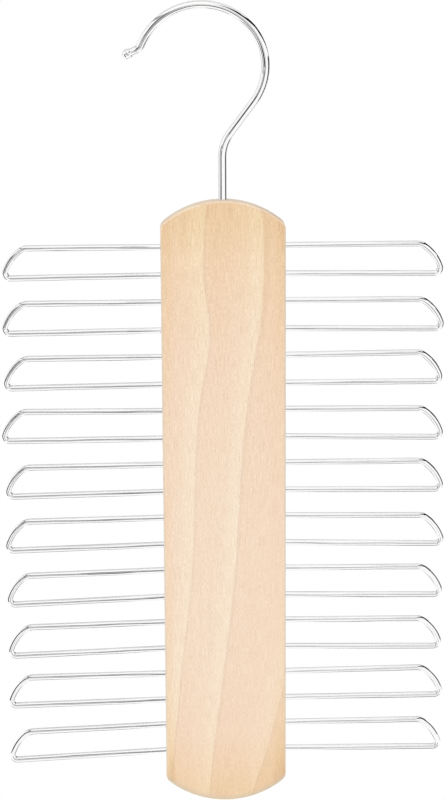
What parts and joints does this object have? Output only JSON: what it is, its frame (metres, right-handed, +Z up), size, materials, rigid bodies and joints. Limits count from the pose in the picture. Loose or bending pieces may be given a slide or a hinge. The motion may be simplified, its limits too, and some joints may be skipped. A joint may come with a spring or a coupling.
{
  "type": "tie hanger",
  "caption": "Hanging tie rack: a flat wooden board with arched ends under a swivelling wire hook, with rows of slanted wire loops down both sides to hang ties on.",
  "frame": {"origin": "seat of the hook on its rod: the inner crest of the hook, in the plane of all the wires", "axes": "+Z up along the swivel axis, +X to the right of someone facing the hanger, +Y to the back"},
  "size_m": [0.1996, 0.012, 0.3635],
  "materials": {
    "board_wood": "clear satin lacquer",
    "hook_chrome": "bright plated",
    "loop_chrome": "bright plated"
  },
  "bodies": {
    "hook": {"hook": "hook_chrome"},
    "rack": {"board": "board_wood", "left_loop_01": "loop_chrome", "left_loop_02": "loop_chrome", "left_loop_03": "loop_chrome", "left_loop_04": "loop_chrome", "left_loop_05": "loop_chrome", "left_loop_06": "loop_chrome", "left_loop_07": "loop_chrome", "left_loop_08": "loop_chrome", "left_loop_09": "loop_chrome", "left_loop_10": "loop_chrome", "right_loop_01": "loop_chrome", "right_loop_02": "loop_chrome", "right_loop_03": "loop_chrome", "right_loop_04": "loop_chrome", "right_loop_05": "loop_chrome", "right_loop_06": "loop_chrome", "right_loop_07": "loop_chrome", "right_loop_08": "loop_chrome", "right_loop_09": "loop_chrome", "right_loop_10": "loop_chrome"}
  },
  "joints": [
    {"name": "hook_swivel", "type": "hinge", "parent": "hook", "child": "rack", "pos_m": [0.00875, 0, -0.08251], "axis": [0, 0, 1], "range_deg": [-180, 180]}
  ]
}
